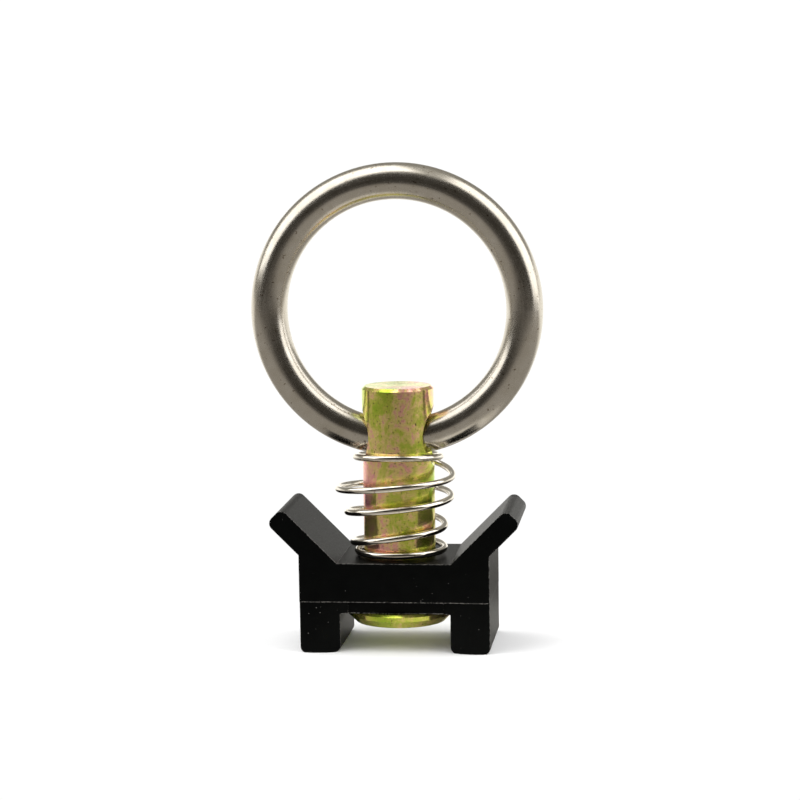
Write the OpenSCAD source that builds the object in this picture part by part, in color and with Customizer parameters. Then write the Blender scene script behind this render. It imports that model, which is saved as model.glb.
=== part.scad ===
// Single-stud fitting with a round ring, for a slotted floor or wall track.
// The stud stands on +Z with its axis on the origin. The keeper's feet stand on z = 0.
// The ring lies in the XZ plane. The keeper's wings reach along X. All sizes are in millimetres.

/* [Ring] */
// Inner diameter of the ring
ring_bore = 38.1; // [34:0.1:44]
// Diameter of the ring's round bar
ring_wire = 6.35; // [5.5:0.05:6.5]

/* [Stud] */
// Diameter of the shaft that the keeper slides on
shaft_d = 12.5; // [12:0.1:12.6]
// Height of the stud's top above the feet
stud_top = 45.4; // [44.8:0.1:48]
// Diameter of the flat head that goes under the track's lips
head_d = 18.4; // [16:0.1:18.6]
// Thickness of the head
head_t = 2.45; // [2:0.05:2.8]
// Height of the head's underside above the feet
head_z = 4.15; // [3.5:0.05:4.6]
// Diameter of the neck that stands in the track's slot
neck_d = 10; // [9:0.1:11]
// Height of the neck between the head and the shaft's shoulder
neck_h = 4.2; // [3:0.1:5]
// Diameter of the cross hole that holds the ring
eye_d = 8; // [7.7:0.05:8.2]
// Height of the cross hole's centre above the feet
eye_z = 36.7; // [36.4:0.1:37.2]
// Radius of the rounding at both mouths of the cross hole
eye_round = 2.5; // [1.5:0.1:2.8]

/* [Keeper] */
// Width of the keeper's body
keeper_w = 32.9; // [31.5:0.1:33.5]
// Depth of the keeper, which is the length of bar it is cut to
keeper_d = 19; // [18:0.1:19.6]
// Height of the flat web that the spring stands on
web_top = 15.7; // [15.3:0.1:16]
// Height of the milled step above the legs
step_z = 8.95; // [8:0.05:10]
// Gap between the two legs
leg_gap = 19.1; // [18.8:0.05:19.4]
// Distance of each leg's round outline from the stud's axis
leg_x = 14; // [13:0.1:15]
// Depth of the milled waist between the legs
waist_d = 15.2; // [13:0.1:17]
// Thickness of the wings
wing_t = 3.7; // [3:0.1:4]
// Length of the wings past the keeper's side, along their slope
wing_len = 7.8; // [6:0.1:9]
// Height at which the wings leave the keeper's side
wing_z = 17.1; // [16.8:0.05:17.5]

/* [Spring] */
// Diameter of the spring's wire
coil_wire = 1.15; // [1:0.05:1.2]
// Radius of the wire's centre line at the closed ends
coil_end_r = 7.35; // [7.3:0.05:7.8]
// How much wider the spring is at its widest turn, as a radius
coil_belly = 3.3; // [0:0.05:3.4]
// Height of the wire's centre line over the web at the closed upper end
coil_h = 17.25; // [16.6:0.05:17.4]

/* [Hidden] */
$fn = 96;

// The ring
ring_r = (ring_bore + ring_wire) / 2;
ring_drop = 0.4; // the bar's centre rests this far under the eye's centre
ring_z = eye_z - ring_drop + ring_r;

// The stud
edge = 0.5; // chamfer of the shaft's top
rim = 0.4; // chamfer of the head's upper edge
lead = 1.3; // chamfer of the head's lower edge, which finds the track's hole
shoulder = 0.6; // height of the cone from the neck to the shaft
eye_flat = shaft_d / 2 - eye_round * 0.9; // where the eye's straight bore ends
past = 1; // how far a cut runs past the face it opens

// The keeper
seat = 0.05; // gap between the head and the web above it
slot_top = head_z + head_t + seat;
bore_gap = 0.1; // radial clearance of the shaft in the keeper
bore_edge = 0.35; // chamfer of the bore's top edge
tip_r = 1.3; // rounding of the wing tips
foot_r = 1; // rounding of the feet
root_back = 5.7; // length of the wings inside the body
leg_r = keeper_d / 2;

// The spring
tube_sides = 8;
turn_steps = 24;
coil_turns = 4.8;
tip_angle = 62; // where the wire's upper end lies, behind the stud
coil_gap = 0.02; // the spring stands this far above the web
lean = 0.075; // slope of the upper turn, which stands higher at the front

// Rectangle with round corners, from its lowest corner
module round_rect(size, r) {
    translate([r, 0]) square([size[0] - 2 * r, size[1]]);
    translate([0, r]) square([size[0], size[1] - 2 * r]);
    for (x = [r, size[0] - r], y = [r, size[1] - r])
        translate([x, y]) circle(r);
}

// One mouth of the eye: the bore and the flare that its rounding leaves
module eye_mouth() {
    rotate_extrude()
        difference() {
            square([eye_d / 2 + eye_round, eye_flat + eye_round + past]);
            translate([eye_d / 2 + eye_round, eye_flat]) circle(eye_round);
            translate([eye_d / 2, -past]) square([eye_round + past, eye_flat + past]);
        }
}

module stud_body() {
    head_r = head_d / 2;
    head_top = head_z + head_t;
    rotate_extrude()
        polygon([
            [0, head_z],
            [head_r - lead, head_z],
            [head_r, head_z + lead],
            [head_r, head_top - rim],
            [head_r - rim, head_top],
            [neck_d / 2, head_top],
            [neck_d / 2, head_top + neck_h],
            [shaft_d / 2, head_top + neck_h + shoulder],
            [shaft_d / 2, stud_top - edge],
            [shaft_d / 2 - edge, stud_top],
            [0, stud_top]
        ]);
}

module stud() {
    color([0.72, 0.66, 0.30])
        difference() {
            stud_body();
            for (side = [-90, 90])
                translate([0, 0, eye_z]) rotate([0, side, 0]) eye_mouth();
        }
}

module ring() {
    color([0.60, 0.57, 0.52])
        translate([0, 0, ring_z]) rotate([90, 0, 0])
            rotate_extrude() translate([ring_r, 0]) circle(ring_wire / 2);
}

// Slope of a smooth curve through a table's points at its row k
function slope(table, k) =
    let (before = table[max(k - 1, 0)], after = table[min(k + 1, len(table) - 1)])
    (after[1] - before[1]) / (after[0] - before[0]);

// Height at x of a smooth curve through a table's points
function smooth(x, table) =
    let (
        k = min(len([for (row = table) if (row[0] <= x) row]), len(table) - 1) - 1,
        run = table[k + 1][0] - table[k][0],
        rise = table[k + 1][1] - table[k][1],
        t = (x - table[k][0]) / run,
        bend = t * (1 - t) * run
    )
    table[k][1] + rise * t * t * (3 - 2 * t) + bend * (slope(table, k) * (1 - t) - slope(table, k + 1) * t);

// Height of the wire's centre line as a share of coil_h, turn by turn from the top.
// The upper turn is closed and dives under its own tip. The lower turn is closed on the web.
coil_shares = [
    [0, 1], [0.65, 1], [0.85, 0.975], [1, 0.905], [1.15, 0.815], [1.4, 0.768], [1.65, 0.685],
    [2.15, 0.59], [2.4, 0.537], [2.65, 0.445], [3.15, 0.298], [3.4, 0.243], [3.65, 0.135],
    [4.15, 0.062], [4.4, 0.06], [4.65, 0.045], [4.8, 0.034]
];

// The spring is widest in its second turn and narrows towards the web
coil_swells = [
    [0, 0], [0.65, 0.03], [1.15, 0.6], [1.65, 1], [2.15, 0.53], [2.65, 0.53], [3.15, 0.17],
    [3.65, 0.23], [4.15, 0.14], [4.65, 0], [4.8, 0]
];

// A point on the wire's surface
function coil_point(turn, side) =
    let (
        angle = tip_angle - 360 * turn,
        around = 360 * side / tube_sides,
        middle_r = coil_end_r + coil_belly * smooth(turn, coil_swells),
        tilt = -lean * middle_r * sin(angle) * lookup(turn, [[0.65, 1], [1.1, 0]]),
        middle_z = max(coil_h * smooth(turn, coil_shares) + tilt, coil_wire / 2 + coil_gap),
        r = middle_r + coil_wire / 2 * cos(around)
    )
    [r * cos(angle), r * sin(angle), web_top + middle_z + coil_wire / 2 * sin(around)];

module spring() {
    rings = ceil(coil_turns * turn_steps);
    points = [
        for (i = [0 : rings], side = [0 : tube_sides - 1])
            coil_point(coil_turns * i / rings, side)
    ];
    walls = [
        for (i = [0 : rings - 1], side = [0 : tube_sides - 1])
            let (next = (side + 1) % tube_sides, here = i * tube_sides, below = here + tube_sides)
            [here + side, here + next, below + next, below + side]
    ];
    top = [for (side = [tube_sides - 1 : -1 : 0]) side];
    bottom = [for (side = [0 : tube_sides - 1]) rings * tube_sides + side];
    color([0.78, 0.76, 0.71])
        polyhedron(points, concat([top, bottom], walls));
}

// One wing, in its own frame: x runs out along its outer face from where that leaves the side
module wing() {
    translate([-root_back, 0]) square([root_back + wing_len - tip_r, wing_t]);
    translate([wing_len - 3 * tip_r, 0]) round_rect([3 * tip_r, wing_t], tip_r);
}

// Right half of the extruded bar's section, in x and z
module half_section() {
    root_x = keeper_w / 2 - (wing_z - web_top);
    polygon([
        [0, slot_top],
        [leg_gap / 2, slot_top],
        [leg_gap / 2, foot_r],
        [keeper_w / 2, foot_r],
        [keeper_w / 2, wing_z],
        [root_x, web_top],
        [0, web_top]
    ]);
    translate([leg_gap / 2, 0]) round_rect([(keeper_w - leg_gap) / 2, slot_top], foot_r);
    translate([keeper_w / 2, wing_z]) rotate(45) wing();
}

// The milled outline: full depth above the step, two round legs and a waist below it
module outline() {
    translate([-keeper_w, -keeper_d / 2, step_z]) cube([2 * keeper_w, keeper_d, keeper_w]);
    for (side = [-1, 1])
        translate([side * leg_x, 0, -past]) cylinder(h = step_z + 2 * past, r = leg_r);
    translate([-leg_x, -waist_d / 2, -past]) cube([2 * leg_x, waist_d, step_z + 2 * past]);
}

module keeper() {
    bore_r = shaft_d / 2 + bore_gap;
    color([0.06, 0.06, 0.065])
        difference() {
            intersection() {
                translate([0, keeper_d / 2 + past, 0]) rotate([90, 0, 0])
                    linear_extrude(keeper_d + 2 * past) {
                        half_section();
                        mirror([1, 0]) half_section();
                    }
                outline();
            }
            cylinder(h = web_top + past, r = bore_r);
            translate([0, 0, web_top - bore_edge])
                cylinder(h = bore_edge + past, r1 = bore_r, r2 = bore_r + bore_edge + past);
        }
}

stud();
ring();
spring();
keeper();
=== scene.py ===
"""The looks of a single-stud track fitting with a round ring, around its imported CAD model.

Everything is in metres, in the CAD model's own frame: the stud stands on +Z with its axis on the origin, the
keeper's feet stand on z = 0, and the ring lies in the XZ plane. The CAD stud, ring and keeper stay and get
materials here. The CAD spring is coarse, so a smooth wire stands for it.
"""

import math

import bmesh
import bpy
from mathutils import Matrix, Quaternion, Vector


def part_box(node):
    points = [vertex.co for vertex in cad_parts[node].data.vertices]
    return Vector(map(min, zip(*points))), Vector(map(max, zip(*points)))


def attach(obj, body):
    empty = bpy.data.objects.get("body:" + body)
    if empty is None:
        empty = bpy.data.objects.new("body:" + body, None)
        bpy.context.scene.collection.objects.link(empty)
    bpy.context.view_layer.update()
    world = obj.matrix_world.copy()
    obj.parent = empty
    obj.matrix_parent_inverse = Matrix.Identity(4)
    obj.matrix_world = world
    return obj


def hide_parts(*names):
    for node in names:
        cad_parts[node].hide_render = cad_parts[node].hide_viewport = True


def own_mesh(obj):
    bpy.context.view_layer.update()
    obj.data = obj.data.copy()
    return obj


MM = 0.001

# The photograph's view. Angles are in degrees, and azimuth 0 looks along +Y.
TARGET = Vector((0.0004, 0, 0.0428))
VIEW_AZIMUTH = 7.12
VIEW_ELEVATION = 7.43
VIEW_DISTANCE = 0.425
VIEW_ROLL = -0.9
LENS = 110.2
CLIP_START = 0.01
CLIP_END = 20

# The spring's wire, as in the CAD source. The tables go by turns from its upper end: the height of the wire's
# centre line as a share of COIL_H, the swell of its radius as a share of BELLY, and the share of LEAN.
WEB_TOP = 15.7 * MM
WIRE_D = 1.15 * MM
END_R = 7.35 * MM
BELLY = 3.3 * MM
COIL_H = 17.25 * MM
TURNS = 4.8
TIP_ANGLE = 62
COIL_GAP = 0.02 * MM
LEAN = 0.075
LEAN_FADE = [(0.65, 1), (1.1, 0)]
HEIGHT_SHARES = [(0, 1), (0.65, 1), (0.85, 0.975), (1, 0.905), (1.15, 0.815), (1.4, 0.768), (1.65, 0.685)]
HEIGHT_SHARES += [(2.15, 0.59), (2.4, 0.537), (2.65, 0.445), (3.15, 0.298), (3.4, 0.243), (3.65, 0.135)]
HEIGHT_SHARES += [(4.15, 0.062), (4.4, 0.06), (4.65, 0.045), (4.8, 0.034)]
SWELLS = [(0, 0), (0.65, 0.03), (1.15, 0.6), (1.65, 1), (2.15, 0.53), (2.65, 0.53), (3.15, 0.17)]
SWELLS += [(3.65, 0.23), (4.15, 0.14), (4.65, 0), (4.8, 0)]
TUBE_SIDES = 20
TURN_STEPS = 96

# Distance from the ring's centre to the centre line of its bar
RING_R = 22.225 * MM

# The cutter's line round the keeper, where its legs begin, half the line's width, and how bare it is
STEP_Z = 8.95 * MM
STEP_LINE = 0.09 * MM
STEP_BARE = 0.25

# Rounding of the keeper's edges, and how far their wear reaches in from them
EDGE_WIDTH = 0.18 * MM
WEAR_REACH = 0.22 * MM

# Meshes stay sharp, or have their edges broken, where faces meet at more than this many degrees
SHARP_ANGLE = 35

# The stud's film goes by height, from the feet to TINT_TOP. TINT_BIAS is how fast its colour shifts along X.
TINT_TOP = 50 * MM
TINT_BIAS = 34

# The studio. Shadows fall on the floor within NEAR_FLOOR of SHADOW_CENTRE and fade out up to FAR_FLOOR.
LIT_POINT = Vector((0, 0, 0.055))
FLOOR_SIZE = 8
SHADOW_CENTRE = (0.011, 0.0, 0.0)
NEAR_FLOOR = 0.025
FAR_FLOOR = 0.043
FLOOR_RAMP = 0.5
BRIGHT_BACK = (1.35, 1.33, 1.26)
BLACK = (0.0, 0.0, 0.0)


def add(tree, kind, links=None, **settings):
    """A shader node, with its settings made and its inputs set or linked."""
    made = tree.nodes.new("ShaderNode" + kind)
    for name, value in settings.items():
        setattr(made, name, value)
    for name, value in (links or {}).items():
        feed(tree, made.inputs[name], value)
    return made


def feed(tree, socket, value):
    """Links an input to another node's output, or sets it to a number or a colour."""
    if isinstance(value, bpy.types.NodeSocket):
        tree.links.new(value, socket)
    else:
        socket.default_value = value


def plug(tree, shader, **inputs):
    """Links or sets a shader's inputs. Underscores in a name stand for spaces."""
    for name, value in inputs.items():
        feed(tree, shader.inputs[name.replace("_", " ")], value)


def math_of(tree, operation, a, b=0.0, c=0.0):
    return add(tree, "Math", {0: a, 1: b, 2: c}, operation=operation).outputs[0]


def axes_of(tree, vector):
    """The X, Y and Z of a vector."""
    return add(tree, "SeparateXYZ", {"Vector": vector}).outputs


def rescale(tree, value, low, high, start=0.0, end=1.0):
    """Maps low to high onto start to end, and stays within these."""
    links = {"Value": value, "From Min": low, "From Max": high, "To Min": start, "To Max": end}
    return add(tree, "MapRange", links).outputs[0]


def ramp(tree, factor, stops):
    """Colours, or grey levels, against a factor."""
    made = add(tree, "ValToRGB", {"Fac": factor})
    elements = made.color_ramp.elements
    while len(elements) < len(stops):
        elements.new(0.5)
    for element, (place, colour) in zip(elements, stops):
        element.position = place
        element.color = (*colour, 1) if isinstance(colour, tuple) else (colour, colour, colour, 1)
    return made.outputs["Color"]


def mix(tree, factor, a, b):
    """A blend of two colours or grey levels, from a at factor 0 to b at factor 1."""
    made = add(tree, "Mix", data_type="RGBA")
    for index, value in ((0, factor), (6, a), (7, b)):
        feed(tree, made.inputs[index], (*value, 1) if isinstance(value, tuple) else value)
    return made.outputs[2]


def noise(tree, place, size, detail=2.0, roughness=0.5, distortion=0.0):
    """Noise whose features are about size metres across."""
    links = {"Vector": place, "Scale": 1 / size, "Detail": detail, "Roughness": roughness}
    return add(tree, "TexNoise", {**links, "Distortion": distortion}).outputs["Fac"]


def spots(tree, place, size, detail, low, high):
    """1 in the spots where a noise is under low, fading to 0 at high."""
    return ramp(tree, noise(tree, place, size, detail=detail), [(low, 1.0), (high, 0.0)])


def position(tree):
    return add(tree, "TexCoord").outputs["Object"]


def bump(tree, height, distance):
    return add(tree, "Bump", {"Height": height, "Distance": distance, "Strength": 1.0}).outputs["Normal"]


def new_material(name):
    material = bpy.data.materials.new(name)
    material.use_nodes = True
    tree = material.node_tree
    return material, tree, tree.nodes["Principled BSDF"]


def ring_coordinates(tree, place, centre_z):
    """Places on the ring's bar, in metres: along the bar, out from its centre line, and across the ring."""
    x, y, z = axes_of(tree, place)
    z = math_of(tree, "SUBTRACT", z, centre_z)
    along = math_of(tree, "MULTIPLY", math_of(tree, "ARCTAN2", z, x), RING_R)
    squares = math_of(tree, "ADD", math_of(tree, "MULTIPLY", x, x), math_of(tree, "MULTIPLY", z, z))
    out = math_of(tree, "SUBTRACT", math_of(tree, "SQRT", squares), RING_R)
    return along, out, y


def ring_nickel(centre_z):
    """Satin nickel on steel bar, drawn lengthwise, with fine pits and scratches."""
    material, tree, shader = new_material("ring_nickel_worn")
    place = position(tree)
    along, out, y = ring_coordinates(tree, place, centre_z)
    squeezed = math_of(tree, "MULTIPLY", along, 0.06)
    streak_place = add(tree, "CombineXYZ", {"X": squeezed, "Y": out, "Z": y}).outputs[0]
    streaks = noise(tree, streak_place, 0.22 * MM, detail=3)
    cloud = noise(tree, place, 2.6 * MM, detail=4, roughness=0.6)
    grain = noise(tree, place, 0.25 * MM, detail=3, roughness=0.6)
    pits = spots(tree, place, 0.55 * MM, 1, 0.24, 0.3)
    tone = ramp(tree, cloud, [(0.3, (0.52, 0.475, 0.40)), (0.7, (0.60, 0.56, 0.495))])
    tone = mix(tree, pits, tone, (0.25, 0.2, 0.15))
    rough = ramp(tree, mix(tree, 0.5, streaks, grain), [(0.3, 0.17), (0.7, 0.31)])
    relief = mix(tree, pits, mix(tree, 0.35, streaks, grain), BLACK)
    plug(tree, shader, Base_Color=tone, Metallic=1.0, Roughness=rough)
    plug(tree, shader, Normal=bump(tree, relief, 0.006 * MM))
    return material


def zinc_lean(tree, place):
    """What shifts the stud's film, which goes from green at low values to pink at high ones.

    Towards +X it is pinker at the top and greener inside the spring's upper turns, and towards -X the other way
    round. The head is greener all round.
    """
    x, _, z = axes_of(tree, place)
    height = rescale(tree, z, 0.0, TINT_TOP)
    swing = ramp(tree, height, [(0.3, 0.5), (0.58, 0.0), (0.74, 0.45), (0.95, 1.0)])
    swing = math_of(tree, "SUBTRACT", swing, 0.5)
    lean = math_of(tree, "MULTIPLY", math_of(tree, "MULTIPLY", swing, x), TINT_BIAS)
    return math_of(tree, "SUBTRACT", lean, ramp(tree, height, [(0.18, 0.07), (0.24, 0.0)]))


def stud_zinc():
    """Yellow passivated zinc on a turned stud: olive and yellow with pink patches, and fine dark pits."""
    material, tree, shader = new_material("stud_zinc_mottled")
    place = position(tree)
    stretched = add(tree, "VectorMath", {0: place, 1: (1, 1, 0.6)}, operation="MULTIPLY").outputs[0]
    patches = noise(tree, stretched, 5.5 * MM, detail=5, roughness=0.7, distortion=0.5)
    film = noise(tree, place, 1.3 * MM, detail=4, roughness=0.65, distortion=0.4)
    grain = noise(tree, place, 0.3 * MM, detail=3, roughness=0.6)
    mottle = math_of(tree, "ADD", mix(tree, 0.3, patches, film), zinc_lean(tree, place))
    stops = [(0.34, (0.36, 0.54, 0.03)), (0.46, (0.62, 0.64, 0.10)), (0.53, (0.90, 0.70, 0.26))]
    stops += [(0.59, (0.95, 0.50, 0.38)), (0.68, (0.88, 0.36, 0.40))]
    pits = spots(tree, place, 0.35 * MM, 2, 0.3, 0.36)
    tone = mix(tree, pits, ramp(tree, mottle, stops), (0.16, 0.11, 0.03))
    rough = ramp(tree, mix(tree, 0.5, film, grain), [(0.3, 0.12), (0.7, 0.24)])
    relief = mix(tree, pits, mix(tree, 0.5, film, grain), BLACK)
    around = add(tree, "Tangent", direction_type="RADIAL", axis="Z").outputs[0]
    plug(tree, shader, Base_Color=tone, Metallic=0.87, Roughness=rough)
    plug(tree, shader, Anisotropic=0.6, Anisotropic_Rotation=0.25, Tangent=around)
    plug(tree, shader, Normal=bump(tree, relief, 0.012 * MM))
    return material


def spring_nickel():
    """Bright nickel on drawn spring wire, with fine die marks and dark specks."""
    material, tree, shader = new_material("spring_nickel_bright")
    place = position(tree)
    cloud = noise(tree, place, 1.5 * MM, detail=4, roughness=0.6)
    grain = noise(tree, place, 0.2 * MM, detail=3, roughness=0.6)
    specks = spots(tree, place, 0.45 * MM, 2, 0.28, 0.34)
    tone = ramp(tree, cloud, [(0.3, (0.66, 0.60, 0.50)), (0.7, (0.80, 0.76, 0.68))])
    tone = mix(tree, specks, tone, (0.2, 0.13, 0.08))
    rough = ramp(tree, grain, [(0.3, 0.07), (0.7, 0.18)])
    plug(tree, shader, Base_Color=tone, Metallic=1.0, Roughness=rough)
    plug(tree, shader, Normal=bump(tree, grain, 0.006 * MM))
    return material


def edge_wear(tree, reach):
    """1 on the edges, fading to 0 at reach from them."""
    rounded = add(tree, "Bevel", {"Radius": reach}, samples=6).outputs["Normal"]
    flat = add(tree, "NewGeometry").outputs["Normal"]
    facing = add(tree, "VectorMath", {0: rounded, 1: flat}, operation="DOT_PRODUCT").outputs["Value"]
    return ramp(tree, facing, [(0.93, 1.0), (0.998, 0.0)])


def bare_metal(tree, place):
    """How bare the keeper is: on its worn edges, in a few specks, and along the cutter's line."""
    chips = noise(tree, place, 0.30 * MM, detail=4, roughness=0.7)
    worn = math_of(tree, "MULTIPLY", edge_wear(tree, WEAR_REACH), chips)
    worn = ramp(tree, worn, [(0.44, 0.0), (0.56, 0.8)])
    specks = ramp(tree, noise(tree, place, 0.3 * MM, detail=0), [(0.87, 0.0), (0.91, 0.4)])
    off_step = math_of(tree, "SUBTRACT", axes_of(tree, place)["Z"], STEP_Z)
    line = rescale(tree, math_of(tree, "ABSOLUTE", off_step), 0.0, STEP_LINE, STEP_BARE, 0.0)
    broken_line = math_of(tree, "MULTIPLY", line, chips)
    return math_of(tree, "MAXIMUM", worn, math_of(tree, "MAXIMUM", specks, broken_line))


def keeper_black():
    """Satin black anodised aluminium, which is worn bare in places."""
    material, tree, shader = new_material("keeper_black_worn")
    place = position(tree)
    cloud = noise(tree, place, 2.5 * MM, detail=3)
    grain = noise(tree, place, 0.18 * MM, detail=3, roughness=0.65)
    bare = bare_metal(tree, place)
    tone = ramp(tree, cloud, [(0.3, (0.0008, 0.0011, 0.0011)), (0.7, (0.0016, 0.0020, 0.0019))])
    tone = mix(tree, bare, tone, (0.62, 0.60, 0.58))
    rough = ramp(tree, grain, [(0.3, 0.32), (0.7, 0.46)])
    plug(tree, shader, Base_Color=tone, Metallic=bare, Roughness=rough, Specular_IOR_Level=0.065)
    plug(tree, shader, Normal=bump(tree, grain, 0.008 * MM))
    return material


def lookup(value, table):
    """Height at value of straight lines through a table's points."""
    for (x0, y0), (x1, y1) in zip(table, table[1:]):
        if value <= x1:
            return y0 + (y1 - y0) * max(value - x0, 0) / (x1 - x0)
    return table[-1][1]


def slope(table, k):
    """Slope of a smooth curve through a table's points, at its row k."""
    before, after = table[max(k - 1, 0)], table[min(k + 1, len(table) - 1)]
    return (after[1] - before[1]) / (after[0] - before[0])


def smooth(value, table):
    """Height at value of a smooth curve through a table's points."""
    k = min(sum(row[0] <= value for row in table), len(table) - 1) - 1
    (x0, y0), (x1, y1) = table[k], table[k + 1]
    t = (value - x0) / (x1 - x0)
    bend = t * (1 - t) * (x1 - x0)
    rise = (y1 - y0) * t * t * (3 - 2 * t)
    return y0 + rise + bend * (slope(table, k) * (1 - t) - slope(table, k + 1) * t)


def coil_point(turn, side):
    """A point on the surface of the spring's wire."""
    angle = math.radians(TIP_ANGLE - 360 * turn)
    around = math.tau * side / TUBE_SIDES
    middle_r = END_R + BELLY * smooth(turn, SWELLS)
    tilt = -LEAN * middle_r * math.sin(angle) * lookup(turn, LEAN_FADE)
    middle_z = max(COIL_H * smooth(turn, HEIGHT_SHARES) + tilt, WIRE_D / 2 + COIL_GAP)
    r = middle_r + WIRE_D / 2 * math.cos(around)
    z = WEB_TOP + middle_z + WIRE_D / 2 * math.sin(around)
    return Vector((r * math.cos(angle), r * math.sin(angle), z))


def spring_mesh():
    """The spring's wire as one smooth tube with cut ends."""
    count = round(TURNS * TURN_STEPS)
    work = bmesh.new()
    rings = []
    for i in range(count + 1):
        turn = TURNS * i / count
        rings.append([work.verts.new(coil_point(turn, side)) for side in range(TUBE_SIDES)])
    for here, below in zip(rings, rings[1:]):
        for side in range(TUBE_SIDES):
            after = (side + 1) % TUBE_SIDES
            work.faces.new((here[side], here[after], below[after], below[side]))
    work.faces.new(list(reversed(rings[0])))
    work.faces.new(rings[-1])
    bmesh.ops.recalc_face_normals(work, faces=work.faces)
    mesh = bpy.data.meshes.new("spring_wire")
    work.to_mesh(mesh)
    work.free()
    mesh.shade_smooth()
    mesh.set_sharp_from_angle(angle=math.radians(SHARP_ANGLE))
    return mesh


def put(name, data, material=None):
    """A new object in the scene."""
    made = bpy.data.objects.new(name, data)
    bpy.context.scene.collection.objects.link(made)
    if material:
        data.materials.append(material)
    return made


def dress(node, material):
    """Gives a CAD node its material."""
    node.data.materials.clear()
    node.data.materials.append(material)


def round_edges(node, width):
    """Breaks a CAD node's sharp edges, and keeps its flat faces evenly shaded."""
    weld = node.modifiers.new("weld", "WELD")
    weld.merge_threshold = 0.001 * MM
    edges = node.modifiers.new("edges", "BEVEL")
    edges.width = width
    edges.segments = 2
    edges.limit_method = "ANGLE"
    edges.angle_limit = math.radians(SHARP_ANGLE)
    edges.harden_normals = True
    normals = node.modifiers.new("normals", "WEIGHTED_NORMAL")
    normals.weight = 100


def direction_to(azimuth, elevation):
    """The unit vector from the object towards that azimuth and elevation, in degrees."""
    a, e = math.radians(azimuth), math.radians(elevation)
    return Vector((math.sin(a) * math.cos(e), -math.cos(a) * math.cos(e), math.sin(e)))


def make_camera():
    camera = put("camera", bpy.data.cameras.new("camera"))
    back = direction_to(VIEW_AZIMUTH, VIEW_ELEVATION)
    roll = Quaternion((0, 0, 1), math.radians(VIEW_ROLL))
    camera.location = TARGET + back * VIEW_DISTANCE
    camera.rotation_mode = "QUATERNION"
    camera.rotation_quaternion = (-back).to_track_quat("-Z", "Y") @ roll
    camera.data.lens = LENS
    camera.data.clip_start = CLIP_START
    camera.data.clip_end = CLIP_END
    bpy.context.scene.camera = camera


def floor_paper():
    """White paper. Near the object it takes shadows, and further off it only glows.

    The camera sees it white all over. The metal sees it dim in front, grey beside it and bright behind.
    """
    material, tree, shader = new_material("floor_paper")
    place = position(tree)
    links = {0: place, 1: SHADOW_CENTRE}
    away = add(tree, "VectorMath", links, operation="DISTANCE").outputs["Value"]
    far = rescale(tree, away, NEAR_FLOOR, FAR_FLOOR)
    depth = rescale(tree, axes_of(tree, place)["Y"], -FLOOR_RAMP, FLOOR_RAMP)
    dim, edge, side = (0.07, 0.065, 0.06), (0.27, 0.25, 0.23), (0.40, 0.38, 0.35)
    stops = [(0.08, dim), (0.17, edge), (0.34, side), (0.56, side), (0.68, BRIGHT_BACK)]
    camera_ray = add(tree, "LightPath").outputs["Is Camera Ray"]
    near_seen = mix(tree, camera_ray, (0.75, 0.73, 0.68), (0.95, 0.95, 0.95))
    far_seen = mix(tree, camera_ray, ramp(tree, depth, stops), (1.02, 1.02, 1.02))
    plug(tree, shader, Base_Color=mix(tree, far, near_seen, BLACK), Roughness=0.7)
    plug(tree, shader, Emission_Color=mix(tree, far, BLACK, far_seen), Emission_Strength=1.0)
    plug(tree, shader, Specular_IOR_Level=0.0)
    return material


def make_floor():
    half = FLOOR_SIZE / 2
    corners = [(-half, -half, 0), (half, -half, 0), (half, half, 0), (-half, half, 0)]
    mesh = bpy.data.meshes.new("floor")
    mesh.from_pydata(corners, [], [(0, 1, 2, 3)])
    put("floor", mesh, floor_paper())


def softbox(name, radiance, distance, azimuth, elevation, half_width, half_height):
    """A rectangular light that faces LIT_POINT. Its half sizes are shares of its distance."""
    data = bpy.data.lights.new(name, "AREA")
    data.shape = "RECTANGLE"
    data.size, data.size_y = 2 * half_width * distance, 2 * half_height * distance
    data.energy = radiance * math.pi * data.size * data.size_y
    lamp = put(name, data)
    away = direction_to(azimuth, elevation)
    lamp.location = LIT_POINT + away * distance
    lamp.rotation_mode = "QUATERNION"
    lamp.rotation_quaternion = (-away).to_track_quat("-Z", "Y")


def make_lights():
    softbox("softbox_left", 2.0, 0.60, -77, 50, 0.50, 0.84)
    softbox("softbox_right", 2.0, 0.55, 86, 35, 0.47, 0.70)


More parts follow.
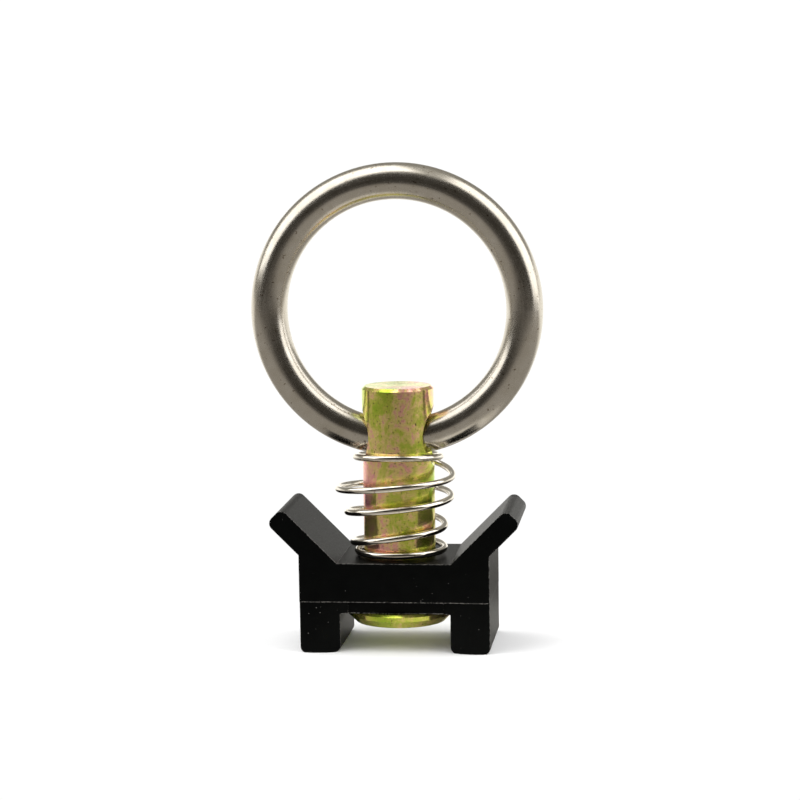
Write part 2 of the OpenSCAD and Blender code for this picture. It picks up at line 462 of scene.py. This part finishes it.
def room_seen(tree):
    """The room that the metal sees: dim in front, grey behind, a pale ceiling and a bright band low behind."""
    x, y, z = axes_of(tree, add(tree, "TexCoord").outputs["Generated"])
    depth = math_of(tree, "MULTIPLY_ADD", y, 0.5, 0.5)
    front, middle, back = (0.045, 0.041, 0.035), (0.30, 0.29, 0.26), (0.36, 0.35, 0.32)
    room = ramp(tree, depth, [(0.2, front), (0.6, middle), (1.0, back)])
    ceiling = ramp(tree, z, [(0.75, 0.0), (1.0, 1.0)])
    room = mix(tree, ceiling, room, (0.55, 0.54, 0.5))
    low = ramp(tree, z, [(0.16, 1.0), (0.24, 0.0)])
    behind = ramp(tree, y, [(0.3, 0.0), (0.6, 1.0)])
    return mix(tree, math_of(tree, "MULTIPLY", low, behind), room, BRIGHT_BACK)


def make_world():
    """White to the camera, even to what scatters light, and a room to what reflects it."""
    world = bpy.data.worlds.new("studio")
    bpy.context.scene.world = world
    world.use_nodes = True
    tree = world.node_tree
    path = add(tree, "LightPath").outputs
    seen = mix(tree, path["Is Diffuse Ray"], room_seen(tree), (0.75, 0.75, 0.75))
    seen = mix(tree, path["Is Camera Ray"], seen, (1.1, 1.1, 1.1))
    tree.links.new(seen, tree.nodes["Background"].inputs["Color"])


def make_studio():
    bpy.context.scene.view_settings.view_transform = "Standard"
    make_floor()
    make_lights()
    make_world()


def dress_nodes(nodes):
    """Gives the CAD nodes that stay their materials, and breaks the keeper's edges."""
    ring_low, ring_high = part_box("ring")
    dress(nodes["ring"], ring_nickel((ring_low.z + ring_high.z) / 2))
    dress(nodes["stud"], stud_zinc())
    dress(nodes["keeper"], keeper_black())
    round_edges(nodes["keeper"], EDGE_WIDTH)


def make_spring():
    """The smooth wire that replaces the CAD spring, on the spring's body."""
    wire = put("spring_wire", spring_mesh(), spring_nickel())
    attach(wire, "spring")
    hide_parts("spring")
    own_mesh(wire)


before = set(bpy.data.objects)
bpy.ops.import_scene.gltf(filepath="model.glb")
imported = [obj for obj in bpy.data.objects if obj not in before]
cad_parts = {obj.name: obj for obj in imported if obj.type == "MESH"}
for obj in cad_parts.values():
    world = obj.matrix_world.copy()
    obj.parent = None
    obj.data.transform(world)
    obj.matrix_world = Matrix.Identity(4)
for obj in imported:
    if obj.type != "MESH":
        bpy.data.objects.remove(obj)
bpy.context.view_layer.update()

make_camera()
make_studio()
dress_nodes(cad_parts)
make_spring()
